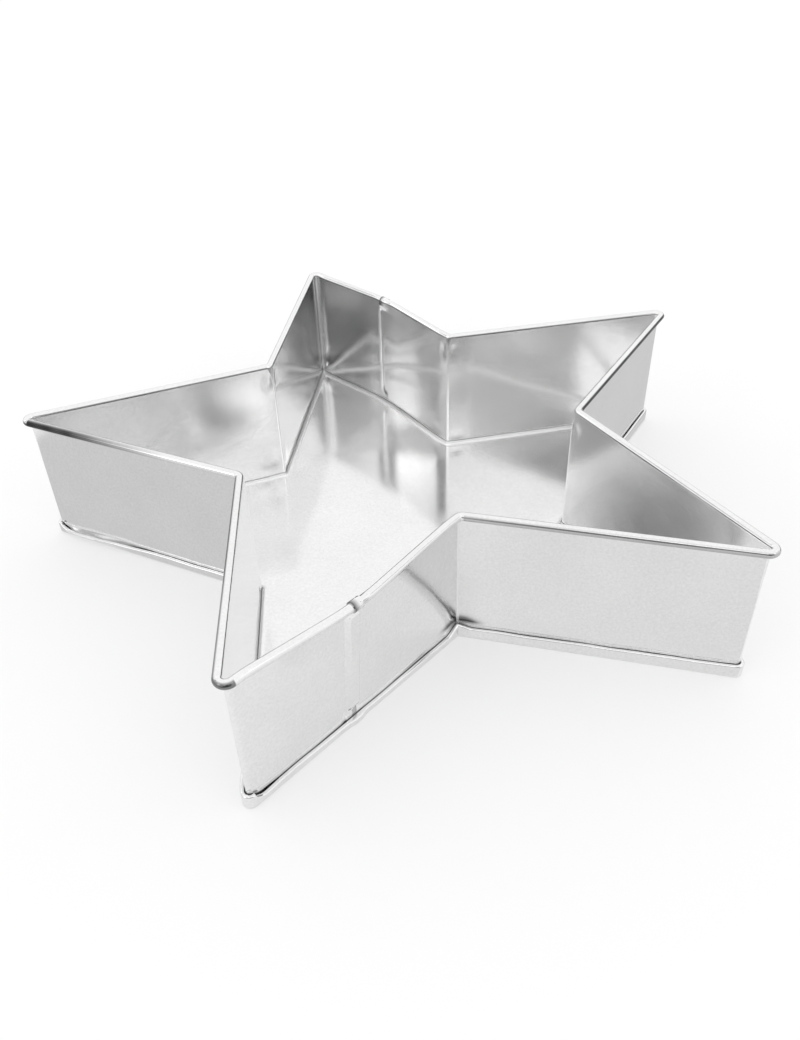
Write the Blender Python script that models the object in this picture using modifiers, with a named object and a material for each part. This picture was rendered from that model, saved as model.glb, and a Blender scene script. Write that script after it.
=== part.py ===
"""A five-pointed star cake pan of seamed tin plate.

Two wall strips hook into each other in two lock seams. Their top edge is rolled outward round a
steel wire, and the edge of the base sheet is folded over the flange at their foot. The pan stands
on its base with the middle of the star at the origin. The first tip points along +Y, and the
outline is followed clockwise, as seen from above. All sizes are in metres.
"""

import math

import bmesh
import bpy
import numpy as np

# Star and sheet, measured to the middle of the sheet
POINTS = 5
TIP_REACH = 0.1335
FOLD_REACH = 0.0614
DEPTH = 0.0520
SHEET = 0.00035
CLEARANCE = 0.0003
TIP_BEND = 0.0010
FOLD_BEND = 0.0010
TIGHTEST_BEND = 0.00035

# Wired rim
WIRE_DIAMETER = 0.0018
WIRE_FOLD_BEND = 0.0020
WIRE_ENDS_APART = 0.0006
WIRE_ENDS_FROM_TIP = 0.0450
ROLL_END = math.radians(-120)
LAP_ROLL_END = math.radians(-100)
RIM_EASE = 0.0030

# Base seam
BAND_HEIGHT = 0.0053
BAND_BEND = 0.0005
BAND_SWELL = 0.0006
SWELL_RAMP = 0.0007

# Wall seams, one behind and one in front
BACK_SEAM_FROM_TIP = 0.0455
FRONT_SEAM_FROM_TIP = 0.0423
BACK_FOOT_BOW = 0.0035
BACK_RIM_BOW = 0.0035
FRONT_FOOT_BOW = 0.0
FRONT_RIM_BOW = 0.0035
SEAM_SHOULDER = 0.0055
SHOULDER_EASE = 0.0010
SEAM_FLAT = 0.0020
HOOK_LENGTH = 0.0014
HOOK_SETBACK = 0.0006
JOGGLE_RISE = 0.0022
RIM_LAP = 0.0025
LAP_TAPER = 0.0006

# Steps along the round stretches
TIP_STEPS = 5
FOLD_STEPS = 4
HEM_STEPS = 5
ROLL_STEPS = 10
BEND_STEPS = 3
WIRE_ROUND_STEPS = 2

# Worked out from the sizes above
LAYER = SHEET + CLEARANCE
ROLL_RADIUS = WIRE_DIAMETER / 2 + CLEARANCE + SHEET / 2
ROLL_HEIGHT = DEPTH - SHEET / 2 - ROLL_RADIUS
HEM_LOW = SHEET + CLEARANCE + SHEET / 2 + LAYER
HEM_HIGH = BAND_HEIGHT - SHEET / 2 - LAYER
SEAM_TURN = SEAM_FLAT / 2


def unit(vector):
    return vector / np.linalg.norm(vector)


def left_of(direction):
    """The direction a quarter turn to the left, which is outward on a clockwise outline."""
    return np.array([-direction[1], direction[0]])


def arc(middle, radius, start, end, steps):
    angle = np.linspace(start, end, steps + 1)
    ways = np.column_stack([np.cos(angle), np.sin(angle)])
    return np.array(middle) + radius * ways


def star_point(step):
    """A corner of the star: even steps are tips, odd steps are inner folds."""
    angle = math.pi / 2 - step * math.pi / POINTS
    reach = FOLD_REACH if step % 2 else TIP_REACH
    return reach * np.array([math.cos(angle), math.sin(angle)])


def wall_direction(wall):
    """The clockwise direction of a wall. Wall 0 runs from the first tip to the first fold."""
    return unit(star_point(wall + 1) - star_point(wall))


class Seam:
    """A wall seam and the flat stretch that carries it. The wall bows outward to that stretch by
    one distance at its foot and by another at its rim, evenly in between."""

    def __init__(self, wall, from_tip, foot_bow, rim_bow):
        length = np.linalg.norm(star_point(wall + 1) - star_point(wall))
        self.from_start = length - from_tip if wall % 2 else from_tip
        self.to_end = length - self.from_start
        self.along = wall_direction(wall)
        self.outside = left_of(self.along)
        self.middle = star_point(wall) + self.from_start * self.along
        self.foot_bow = foot_bow
        self.rim_bow = rim_bow

    def bow(self, height):
        """How far the flat stretch lies outside the straight wall at a height."""
        share = (np.asarray(height) - BAND_HEIGHT) / (ROLL_HEIGHT - ROLL_RADIUS - BAND_HEIGHT)
        return self.foot_bow + (self.rim_bow - self.foot_bow) * np.clip(share, 0, 1)

    def place(self, along, out, height):
        """Points at these distances along the wall and out of it, from the seam's middle."""
        outward = np.broadcast_to(out + self.bow(height), np.shape(along))
        return self.middle + np.outer(along, self.along) + np.outer(outward, self.outside)

    def shoulder(self, side, out, height):
        """Three points round the shoulder before the seam (side -1) or after it (side 1), where
        the wall begins to fall back to its corner."""
        run = (self.to_end if side > 0 else self.from_start) - SEAM_SHOULDER
        beyond = SHOULDER_EASE * np.array([-1, 0, 1])
        fallen = (beyond + SHOULDER_EASE) ** 2 / (4 * SHOULDER_EASE) / run
        along = side * (SEAM_SHOULDER + beyond)
        return self.place(along, out - self.bow(height) * fallen, height)[::side]


BACK_WALL = 0
FRONT_WALL = POINTS
SEAMS = {
    BACK_WALL: Seam(BACK_WALL, BACK_SEAM_FROM_TIP, BACK_FOOT_BOW, BACK_RIM_BOW),
    FRONT_WALL: Seam(FRONT_WALL, FRONT_SEAM_FROM_TIP, FRONT_FOOT_BOW, FRONT_RIM_BOW),
}
SHOULDER_SIDES = {"before seam": -1, "after seam": 1}


def outline_corners():
    """Every corner of the outline in clockwise order, as its kind and its wall."""
    corners = []
    for step in range(2 * POINTS):
        corners.append(("fold" if step % 2 else "tip", step))
        if step in SEAMS:
            corners += [(kind, step) for kind in SHOULDER_SIDES]
    return corners


CORNERS = outline_corners()
STEPS = {"tip": TIP_STEPS, "fold": FOLD_STEPS}


def before_seam(wall):
    return CORNERS.index(("before seam", wall))


def after_seam(wall):
    return CORNERS.index(("after seam", wall))


def corners_between(first, last):
    """The numbers of the corners from the first to the last, clockwise."""
    count = (last - first) % len(CORNERS) + 1
    return [(first + step) % len(CORNERS) for step in range(count)]


def rounded_corners(out, fold_bend, height):
    """The outline at a height, moved outward by a distance, as one run of points per corner.

    Each side moves along its own normal, neighbouring sides meet again, and the corner between
    them is rounded by an arc that touches both.
    """
    bends = {"tip": TIP_BEND + out, "fold": fold_bend}
    runs = []
    for kind, step in CORNERS:
        if kind in SHOULDER_SIDES:
            runs.append(SEAMS[step].shoulder(SHOULDER_SIDES[kind], out, height))
            continue
        before = wall_direction(step - 1)
        after = wall_direction(step)
        normal = left_of(before)
        mitre = (normal + left_of(after)) / (1 + before @ after)
        turn = math.atan2(before[0] * after[1] - before[1] * after[0], before @ after)
        radius = bends[kind]
        start = star_point(step) + out * mitre - radius * math.tan(abs(turn) / 2) * before
        angle = np.linspace(0, abs(turn), STEPS[kind] + 1)
        aside = math.copysign(radius, turn) * (1 - np.cos(angle))
        runs.append(start + np.outer(radius * np.sin(angle), before) + np.outer(aside, normal))
    return runs


def layer_fold_bend(out):
    """The fold's radius in a layer of the base seam, which keeps its distance from the wall."""
    return max(FOLD_BEND - out, TIGHTEST_BEND)


class Section:
    """The section of a wall strip, from the flange at its foot up to its rolled rim.

    Each row holds its distance out of the wall and its height: plain, as it runs round the star,
    and lapped, where one strip's rim goes on over the other's. The lapped roll is wider by one
    layer, round the same middle.
    """

    def __init__(self):
        hook = [(2 * LAYER, HEM_HIGH - SHEET / 2)]
        flange = arc((LAYER, HEM_LOW), LAYER, 0, -math.pi, HEM_STEPS)
        foot = BAND_HEIGHT + CLEARANCE
        top = ROLL_HEIGHT - ROLL_RADIUS - 2 * LAYER
        low = foot + JOGGLE_RISE
        high = top - JOGGLE_RISE
        heights = [foot, low, low + HOOK_SETBACK, high - HOOK_SETBACK, high]
        wall = [(0, height) for height in heights]
        middle = (ROLL_RADIUS, ROLL_HEIGHT)
        roll = arc(middle, ROLL_RADIUS, math.pi, ROLL_END, ROLL_STEPS)
        wide_roll = arc(middle, ROLL_RADIUS + LAYER, math.pi, LAP_ROLL_END, ROLL_STEPS)
        self.plain = np.vstack([hook, flange, wall, [(0, top)], roll])
        self.lapped = np.vstack([hook, flange, wall, [(-LAYER, top)], wide_roll])
        self.foot = len(hook) + len(flange)
        self.top = self.foot + len(wall)
        self.joggled = slice(self.foot + 1, self.top)
        self.hooked = slice(self.foot + 2, self.top - 1)

    def fold_bend(self, row):
        """The fold's radius in a row. The fold opens towards the rim, where it passes the wire."""
        out, height = self.plain[row]
        if row < self.foot:
            return layer_fold_bend(out)
        if row > self.top:
            return WIRE_FOLD_BEND + ROLL_RADIUS - out
        opened = 1 - (ROLL_HEIGHT - height) / (ROLL_RADIUS + RIM_EASE)
        return FOLD_BEND + max(opened, 0) * (WIRE_FOLD_BEND + ROLL_RADIUS - FOLD_BEND)


SECTION = Section()


def inner_end(row):
    """The strip end that lies inside at a seam, as (along, out, lapped) for each column.

    Along counts from the seam's middle towards the strip's own end. The strip stays flat, then
    folds outward and back into a hook, and its rim goes on over the other strip's rim.
    """
    wide_from = -SEAM_TURN - LAYER
    flat = [(wide_from - LAP_TAPER, 0, 0), (wide_from, 0, 1), (-CLEARANCE / 2, 0, 1)]
    last = [(RIM_LAP if row >= SECTION.top else SEAM_TURN, 0, 1)]
    bend = arc((SEAM_TURN, LAYER), LAYER, -math.pi / 2, math.pi / 2, HEM_STEPS)[1:]
    hook = [(SEAM_TURN - HOOK_LENGTH, 2 * LAYER)]
    return flat + last + [(along, out, 0) for along, out in [*bend, *hook]]


def outer_end(row):
    """The strip end that lies outside at a seam, as (along, out, lapped) for each column.

    The strip steps outward round the other strip's hook and runs over it, then folds inward and
    back between that hook and the other strip.
    """
    step = arc((-SEAM_TURN - 3 * LAYER, LAYER), LAYER, -math.pi / 2, 0, BEND_STEPS)
    round_hook = arc((-SEAM_TURN, LAYER), 2 * LAYER, math.pi, math.pi / 2, BEND_STEPS)[1:]
    over = [(-CLEARANCE / 2, 3 * LAYER), (SEAM_TURN, 3 * LAYER)]
    bend = arc((SEAM_TURN, 2 * LAYER), LAYER, math.pi / 2, -math.pi / 2, HEM_STEPS)[1:]
    hook = [(SEAM_TURN - HOOK_LENGTH, LAYER)]
    stepped = SECTION.joggled.start <= row < SECTION.joggled.stop
    return [(along, out * stepped, 0) for along, out in [*step, *round_hook, *over, *bend, *hook]]


def end_columns(shape, row, seam, sense):
    """One row over the columns of a strip's end, where it runs clockwise into the seam (sense 1)
    or out of it (sense -1)."""
    along, out, lapped = np.transpose(shape(row))
    section = np.where(lapped[:, None] > 0, SECTION.lapped[row], SECTION.plain[row])
    places = seam.place(sense * along, out + section[:, 0], section[:, 1])
    return np.column_stack([places, section[:, 1]])


def end_holds(shape):
    """Which rows reach each column of a strip's end.

    All rows reach the seam's middle. The flange stops there, notched as a tinsmith cuts it. The
    wall and rim go on to the end of the flat, and only the hooked rows go round into the hook.
    """
    count = len(shape(0))
    flat_end = count - 2 - HEM_STEPS
    held = np.zeros((len(SECTION.plain), count), bool)
    held[:, :flat_end] = True
    held[SECTION.hooked.start :, flat_end] = True
    held[SECTION.hooked, flat_end + 1 :] = True
    return held


def strip_surface(first_wall, last_wall, shape):
    """The middle surface of a strip between two seams, as rows of points and which of them it has."""
    corners = corners_between(after_seam(first_wall), before_seam(last_wall))
    rows = []
    for row, (out, height) in enumerate(SECTION.plain):
        runs = rounded_corners(out, SECTION.fold_bend(row), height)
        places = np.vstack([runs[corner] for corner in corners])
        middle = np.column_stack([places, np.full(len(places), height)])
        start = end_columns(shape, row, SEAMS[first_wall], -1)[::-1]
        end = end_columns(shape, row, SEAMS[last_wall], 1)
        rows.append(np.vstack([start, middle, end]))
    held = end_holds(shape)
    between = np.ones((len(rows), len(rows[0]) - 2 * held.shape[1]), bool)
    return np.array(rows), np.hstack([held[:, ::-1], between, held])


def base_surface():
    """The middle surface of the base sheet's edge, as rows of points from the floor outward.

    The edge turns up outside the wall's flange, folds over it and comes down behind it. It swells
    outward where it passes a wall seam.
    """
    bend_middle = (3 * LAYER - BAND_BEND, SHEET / 2 + BAND_BEND)
    bend = arc(bend_middle, BAND_BEND, -math.pi / 2, 0, BEND_STEPS)
    fold = arc((2 * LAYER, HEM_HIGH), LAYER, 0, math.pi, HEM_STEPS)
    section = np.vstack([bend, fold, [(LAYER, HEM_LOW)]])
    swell_end = SEAM_TURN + 2 * LAYER + SHEET / 2
    along = np.array([-swell_end - SWELL_RAMP, -swell_end, swell_end, swell_end + SWELL_RAMP])
    swollen = np.array([0, 1, 1, 0])
    rows = []
    for out, height in section:
        runs = rounded_corners(out, layer_fold_bend(out), height)
        swell = BAND_SWELL * (out - LAYER) / (2 * LAYER)
        for wall in reversed(SEAMS):
            bump = SEAMS[wall].place(along, out + swell * swollen, height)
            runs.insert(after_seam(wall), bump)
        places = np.vstack(runs)
        rows.append(np.column_stack([places, np.full(len(places), height)]))
    return np.array(rows)


def metal(name, colour, roughness):
    material = bpy.data.materials.new(name)
    material.use_nodes = True
    shader = material.node_tree.nodes["Principled BSDF"]
    shader.inputs["Base Color"].default_value = (*colour, 1)
    shader.inputs["Metallic"].default_value = 1
    shader.inputs["Roughness"].default_value = roughness
    return material


def tin_plate():
    return metal("tin_plate", (0.80, 0.80, 0.80), 0.22)


def drawn_steel():
    return metal("drawn_steel", (0.56, 0.57, 0.58), 0.35)


def add_to(collection, name, data, material):
    data.materials.append(material)
    piece = bpy.data.objects.new(name, data)
    collection.objects.link(piece)
    return piece


def sheet(collection, name, rows, held, floor, material):
    """A piece of sheet: quads between the rows of its middle surface, and a floor on the first row
    where it has one, thickened evenly to both sides."""
    form = bmesh.new()
    points = np.empty(held.shape, object)
    for place in zip(*np.nonzero(held)):
        points[place] = form.verts.new(rows[place])
    last_row, last_column = held.shape
    ring = range(last_column if floor else last_column - 1)
    for row in range(last_row - 1):
        for column in ring:
            beside = (column + 1) % last_column
            quad = [(row, column), (row, beside), (row + 1, beside), (row + 1, column)]
            if all(held[place] for place in quad):
                form.faces.new([points[place] for place in quad])
    if floor:
        form.faces.new(points[0][::-1])
    bmesh.ops.recalc_face_normals(form, faces=form.faces)
    mesh = bpy.data.meshes.new(name)
    form.to_mesh(mesh)
    form.free()
    mesh.shade_smooth()
    mesh.set_sharp_from_angle(angle=math.radians(50))
    piece = add_to(collection, name, mesh, material)
    thickness = piece.modifiers.new("sheet thickness", "SOLIDIFY")
    thickness.thickness = SHEET
    thickness.offset = 0
    thickness.use_even_offset = True
    return piece


def wall_strip_right(collection, material):
    """The strip from the back seam clockwise round two points to the front seam."""
    rows, held = strip_surface(BACK_WALL, FRONT_WALL, inner_end)
    return sheet(collection, "wall_strip_right", rows, held, False, material)


def wall_strip_left(collection, material):
    """The strip from the front seam clockwise round three points to the back seam."""
    rows, held = strip_surface(FRONT_WALL, BACK_WALL, outer_end)
    return sheet(collection, "wall_strip_left", rows, held, False, material)


def base_sheet(collection, material):
    """The star-shaped floor, with its edge folded over the flange of the walls."""
    rows = base_surface()
    held = np.ones(rows.shape[:2], bool)
    return sheet(collection, "base_sheet", rows, held, True, material)


def rim_wire(collection, material):
    """The wire in the rolled rim. It runs once round the star, and its two ends nearly meet on the
    wall beside the front tip, clear of both seams."""
    wall = FRONT_WALL + 1
    along = wall_direction(wall)
    ends = star_point(wall) + ROLL_RADIUS * left_of(along) + WIRE_ENDS_FROM_TIP * along
    runs = rounded_corners(ROLL_RADIUS, WIRE_FOLD_BEND, ROLL_HEIGHT)
    first = CORNERS.index(("fold", wall + 1))
    path = [runs[corner] for corner in corners_between(first, first - 1)]
    apart = WIRE_ENDS_APART / 2 * along
    places = np.vstack([ends + apart, *path, ends - apart])
    curve = bpy.data.curves.new("rim_wire", "CURVE")
    curve.dimensions = "3D"
    curve.bevel_depth = WIRE_DIAMETER / 2
    curve.bevel_resolution = WIRE_ROUND_STEPS
    curve.use_fill_caps = True
    spline = curve.splines.new("POLY")
    spline.points.add(len(places) - 1)
    for point, (x, y) in zip(spline.points, places):
        point.co = (x, y, ROLL_HEIGHT, 1)
    return add_to(collection, "rim_wire", curve, material)


def clear_scene():
    for old in list(bpy.data.objects):
        bpy.data.objects.remove(old, do_unlink=True)


def main():
    clear_scene()
    pan = bpy.data.collections.new("star_cake_pan")
    bpy.context.scene.collection.children.link(pan)
    plate = tin_plate()
    base_sheet(pan, plate)
    wall_strip_right(pan, plate)
    wall_strip_left(pan, plate)
    rim_wire(pan, drawn_steel())


main()
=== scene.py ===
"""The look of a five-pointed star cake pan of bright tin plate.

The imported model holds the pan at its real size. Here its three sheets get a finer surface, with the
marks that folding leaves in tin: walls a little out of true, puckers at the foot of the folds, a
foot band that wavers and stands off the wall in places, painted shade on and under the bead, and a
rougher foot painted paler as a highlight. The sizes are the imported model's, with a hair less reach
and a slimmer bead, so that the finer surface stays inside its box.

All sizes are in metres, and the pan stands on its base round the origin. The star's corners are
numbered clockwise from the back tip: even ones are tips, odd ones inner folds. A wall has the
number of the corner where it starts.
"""

import math

import bpy
import numpy as np
from mathutils import Matrix


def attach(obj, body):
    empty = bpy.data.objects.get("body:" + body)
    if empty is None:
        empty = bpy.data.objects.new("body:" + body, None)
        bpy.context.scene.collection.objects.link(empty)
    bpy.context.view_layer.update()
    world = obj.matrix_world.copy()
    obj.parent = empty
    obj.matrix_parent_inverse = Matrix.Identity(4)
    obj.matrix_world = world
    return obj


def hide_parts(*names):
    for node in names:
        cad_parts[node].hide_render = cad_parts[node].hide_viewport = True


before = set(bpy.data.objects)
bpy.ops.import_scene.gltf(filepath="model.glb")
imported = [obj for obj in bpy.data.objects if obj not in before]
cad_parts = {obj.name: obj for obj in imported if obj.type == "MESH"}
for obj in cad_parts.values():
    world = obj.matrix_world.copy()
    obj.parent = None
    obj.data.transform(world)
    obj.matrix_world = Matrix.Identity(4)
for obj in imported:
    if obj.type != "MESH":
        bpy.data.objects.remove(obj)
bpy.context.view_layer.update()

# Star, sheet and rim
POINTS = 5
TIP_REACH = 0.1334
FOLD_REACH = 0.0614
DEPTH = 0.0520
SHEET = 0.00035
TIP_BEND = 0.0010
FOLD_BEND = 0.0010
TIGHTEST_BEND = 0.0003
WIRE_OUT = 0.001375
ROLL_OUT = 0.001275
ROLL_RADIUS = 0.0012
ROLL_HEIGHT = DEPTH - SHEET / 2 - WIRE_OUT
WIRE_FOLD_BEND = 0.0020
RIM_EASE = 0.0050
RIM_LEAN = 0.0160
ROLL_END = math.radians(-120)
LAP_ROLL_END = math.radians(-100)

# Foot band: the base's edge is folded over the wall's flange and pressed tight
BAND_HEIGHT = 0.0053
BAND_LAYER = 0.00048
BAND_BEND = 0.0004
FLOOR_GAP = 0.0001
HEM_LOW = SHEET * 1.5 + FLOOR_GAP + BAND_LAYER
HEM_HIGH = BAND_HEIGHT - SHEET / 2 - BAND_LAYER
BAND_SWELL = 0.0006
SWELL_RAMP = 0.0018

# Ridge of the floor along the walls' foot, rougher and painted paler as a highlight; its back is
# (distance out, share of the height)
RIDGE_HEIGHT = 0.00108
RIDGE_WIDTH = 0.00042
RIDGE_OUT = -0.00039
RIDGE_REACH = 0.0034
RIDGE_BACK = ((-0.000375, 0.8), (-0.00037, 0.35), (0.00014, 0))
RIDGE_CROWDING = 1.8
RIDGE_BUMPS = 0.00009
BUMPS_WIDTH = 1.6 * RIDGE_WIDTH
WORN_HEIGHT = 0.0022
WORN_REACH = 0.0016
FLOOR_SWEEP = 1.5
FLOOR_MARK_SHARE = 0.7

# Wall seams
SEAM_FLAT = 0.0020
SEAM_TURN = SEAM_FLAT / 2
SEAM_LAYER = 0.00038
SEAM_SHOULDER = 0.0055
SHOULDER_EASE = 0.0010
CORNER_MARGIN = 0.0060
HOOK_LENGTH = 0.0014
HOOK_SETBACK = 0.0006
JOGGLE_RISE = 0.0022
BACK_RUN = 0.0006
FRONT_RUN = 0.0016
RIM_LAP = 0.0020
LAP_TAPER = 0.0006

# Fineness of the surfaces
WALL_COLUMNS = 64
TIP_COLUMNS = 14
FOLD_COLUMNS = 12
WALL_ROWS = 36
FOOT_ROWS = 5
ROLL_ROWS = 22
NECK_SHARES = np.array([0.4, 0.7, 0.88, 0.96])
HEM_ROWS = 8
BEND_ROWS = 5
RIDGE_ROWS = 12
FLOOR_RINGS = 28
RISE_STEPS = 8
LEG_STEPS = 4
CROWDING = 0.78
FURTHEST_SKIN = 0.75 * SHEET
SHARP_EDGE = math.radians(55)


def unit(vector):
    return vector / np.linalg.norm(vector)


def left_of(direction):
    """A quarter turn to the left, which is outward on a clockwise outline."""
    return np.stack([-direction[..., 1], direction[..., 0]], -1)


def arc(middle, radius, start, end, steps):
    """Points on a circle: middle + radius (cos a, sin a), with a from start to end."""
    angle = np.linspace(start, end, steps + 1)
    return np.array(middle) + radius * np.column_stack([np.cos(angle), np.sin(angle)])


def graded(count):
    """Shares from 0 to 1 that crowd together at both ends: s - k sin(2 pi s) / (2 pi)."""
    share = np.linspace(0, 1, count + 1)
    return share - CROWDING * np.sin(2 * math.pi * share) / (2 * math.pi)


def soft_step(x, low, high):
    """0 below low, 1 above high, and 3t^2 - 2t^3 between them."""
    t = np.clip((x - low) / (high - low), 0, 1)
    return t * t * (3 - 2 * t)


def hump(x, middle, width):
    """A bell: exp(-((x - middle) / width)^2)."""
    return np.exp(-(((x - middle) / width) ** 2))


# The star
STEP = np.arange(2 * POINTS)
CORNER_ANGLE = math.pi / 2 - STEP * math.pi / POINTS
CORNER_REACH = np.where(STEP % 2, FOLD_REACH, TIP_REACH)
CORNER = CORNER_REACH[:, None] * np.column_stack([np.cos(CORNER_ANGLE), np.sin(CORNER_ANGLE)])
WALL = np.roll(CORNER, -1, 0) - CORNER
WALL_LENGTH = np.linalg.norm(WALL, axis=1).mean()
AFTER = WALL / WALL_LENGTH
BEFORE = np.roll(AFTER, 1, 0)
OUTSIDE = left_of(AFTER)
TURN = np.arctan2(BEFORE[:, 0] * AFTER[:, 1] - BEFORE[:, 1] * AFTER[:, 0], np.sum(BEFORE * AFTER, 1))
BACK_TIP, BACK_RIGHT_FOLD, RIGHT_TIP, RIGHT_FOLD, FRONT_RIGHT_TIP = range(5)
FRONT_FOLD, FRONT_TIP, LEFT_FOLD, LEFT_TIP, BACK_LEFT_FOLD = range(5, 10)


class Seam:
    """A wall seam: how far it is from the wall's tip, and how far the wall bows out to it at the
    foot and at the rim."""

    def __init__(self, wall, from_tip, foot_bow, rim_bow):
        self.wall = wall
        self.from_start = WALL_LENGTH - from_tip if wall % 2 else from_tip
        self.foot_bow = foot_bow
        self.rim_bow = rim_bow

    def bow(self, height):
        share = (height - BAND_HEIGHT) / (ROLL_HEIGHT - ROLL_RADIUS - BAND_HEIGHT)
        return self.foot_bow + (self.rim_bow - self.foot_bow) * np.clip(share, 0, 1)

    def share(self, along):
        """The bow along the wall: 1 at the seam, falling evenly from each shoulder to 0 near the
        corner. Each change of slope is rounded with e ln(1 + exp(x / e))."""
        beyond = np.abs(along - self.from_start) - SEAM_SHOULDER
        side = np.where(along > self.from_start, WALL_LENGTH - self.from_start, self.from_start)
        run = side - SEAM_SHOULDER - CORNER_MARGIN
        start = np.logaddexp(0, beyond / SHOULDER_EASE)
        end = np.logaddexp(0, (beyond - run) / SHOULDER_EASE)
        return 1 - SHOULDER_EASE * (start - end) / run

    def place(self, along, out, height):
        """Points at distances along the wall from the seam's middle, out of it and up."""
        outward = (out + self.bow(height))[..., None] * OUTSIDE[self.wall]
        ahead = (self.from_start + along)[..., None] * AFTER[self.wall]
        return CORNER[self.wall] + ahead + outward


BACK_SEAM = Seam(BACK_TIP, 0.0455, 0.0035, 0.0035)
FRONT_SEAM = Seam(FRONT_FOLD, 0.0423, 0.0, 0.0035)
SEAMS = (BACK_SEAM, FRONT_SEAM)


class Outline:
    """Columns that follow the star clockwise: an arc at each corner and a straight to the next.

    A column is its corner, how far it has turned there (0 to 1) and how far it is ahead on the
    straight to the next corner (0 to 1).
    """

    def __init__(self, corners, lead_in=0, lead_out=1):
        straight = graded(WALL_COLUMNS)[1:-1]
        pieces = [(corners[0] - 1, np.ones(1), straight[straight > lead_in])] if lead_in else []
        for number, step in enumerate(corners):
            round_steps = np.linspace(0, 1, FOLD_COLUMNS if step % 2 else TIP_COLUMNS)
            last = number == len(corners) - 1
            pieces.append((step, round_steps, straight[straight < lead_out] if last else straight))
        corner, turned, ahead = [], [], []
        for step, round_steps, straights in pieces:
            rounds = round_steps if len(round_steps) > 1 else round_steps[:0]
            corner.append(np.full(len(rounds) + len(straights), step % len(STEP)))
            turned.append(np.concatenate([rounds, np.ones(len(straights))]))
            ahead.append(np.concatenate([np.zeros(len(rounds)), straights]))
        self.corner = np.concatenate(corner)
        self.turned = np.concatenate(turned)
        self.ahead = np.concatenate(ahead)

    def rows(self, out, height, fold_bend):
        """Places, outward directions and distances along the wall, for one row per height.

        A corner's arc starts at corner + out * mitre - r tan(turn / 2) * before, and after an
        angle a it has moved r sin a along and r (1 - cos a) aside. A straight joins two arcs.
        """
        tip_bend = np.maximum(TIP_BEND + out, TIGHTEST_BEND)
        radius = np.where(STEP % 2, fold_bend[:, None], tip_bend[:, None])
        normal = left_of(BEFORE)
        mitre = (normal + OUTSIDE) / (1 + np.sum(BEFORE * AFTER, 1))[:, None]
        back = radius * np.tan(np.abs(TURN) / 2)
        start = CORNER + out[:, None, None] * mitre - back[..., None] * BEFORE
        side = np.sign(TURN)

        def turned_to(index, angle):
            r = radius[:, index]
            along = (r * np.sin(angle))[..., None] * BEFORE[index]
            aside = (side[index] * r * (1 - np.cos(angle)))[..., None] * normal[index]
            return start[:, index] + along + aside

        angle = self.turned * np.abs(TURN[self.corner])
        end = turned_to(STEP, np.abs(TURN))
        step_on = start[:, (self.corner + 1) % len(STEP)] - end[:, self.corner]
        place = turned_to(self.corner, angle) + self.ahead[:, None] * step_on
        to_side = (side[self.corner] * np.sin(angle))[:, None] * BEFORE[self.corner]
        outward = np.cos(angle)[:, None] * normal[self.corner] - to_side
        along = np.sum((place - CORNER[self.corner]) * AFTER[self.corner], -1)
        for seam in SEAMS:
            here = (self.corner == seam.wall) & (self.ahead > 0)
            bow = seam.share(along) * seam.bow(height)[:, None] * here
            place = place + bow[..., None] * OUTSIDE[seam.wall]
        return place, outward, along

    def from_corner(self, corner, along):
        """Distance from a corner along the walls on both of its sides, and far elsewhere."""
        wall_before = (corner - 1) % len(STEP)
        after = np.where(self.corner == corner, np.abs(along), WALL_LENGTH)
        before = np.where(self.corner == wall_before, np.abs(WALL_LENGTH - along), WALL_LENGTH)
        return np.minimum(after, before)


def fold_bends(out, height):
    """The inner folds' radius by row: it keeps its distance from the wall in the foot, and opens
    towards the rim, where the fold passes the wire."""
    foot = np.maximum(FOLD_BEND - out, TIGHTEST_BEND)
    opened = np.clip(1 - (ROLL_HEIGHT - height) / (ROLL_RADIUS + RIM_EASE), 0, 1) ** 2
    wall = FOLD_BEND + opened * (WIRE_FOLD_BEND + WIRE_OUT - FOLD_BEND)
    return np.where(height < BAND_HEIGHT, foot, wall)


# Dents of the tinsmith's tools, in millimetres: wall, distance from its first corner, height, half
# length, half height, and how far the tin is pushed out (or, below 0, towards the pan's middle)
MM = 0.001
DENTS = (
    (9, 3.0, 44.5, 1.8, 2.6, 0.20),
    (8, 88.8, 44.5, 1.8, 2.8, 0.18),
    (8, 87.0, 9.0, 3.0, 4.0, 0.12),
    (8, 83.5, 4.5, 3.5, 2.4, -0.10),
    (8, 76.0, 11.0, 5.0, 5.0, 0.04),
    (9, 4.0, 8.0, 2.4, 3.2, 0.18),
    (9, 88.0, 6.0, 1.8, 2.2, -0.12),
    (9, 85.0, 9.0, 2.2, 2.0, 0.06),
    (9, 81.0, 5.5, 3.0, 1.8, -0.04),
    (0, 3.6, 6.0, 2.0, 2.2, -0.13),
    (0, 7.0, 9.5, 3.0, 1.8, 0.07),
    (0, 11.0, 4.6, 2.6, 1.8, -0.07),
    (0, 15.0, 6.0, 3.4, 2.0, 0.04),
    (0, 88.5, 44.5, 1.6, 2.6, 0.22),
    (0, 85.0, 5.0, 4.0, 2.6, 0.12),
    (1, 2.4, 45.0, 1.6, 2.6, 0.14),
    (1, 4.0, 4.0, 3.0, 2.0, 0.10),
    (3, 2.6, 44.0, 1.8, 2.4, 0.14),
    (4, 88.4, 7.6, 2.2, 2.0, -0.16),
    (4, 84.0, 7.4, 2.4, 1.6, 0.12),
    (5, 2.8, 7.6, 2.2, 2.0, -0.24),
    (5, 7.5, 8.0, 3.0, 1.8, 0.10),
    (6, 87.0, 6.0, 2.6, 2.6, 0.20),
    (6, 82.0, 7.0, 3.0, 2.2, -0.10),
    (7, 4.0, 44.0, 2.2, 2.6, -0.10),
)

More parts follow.
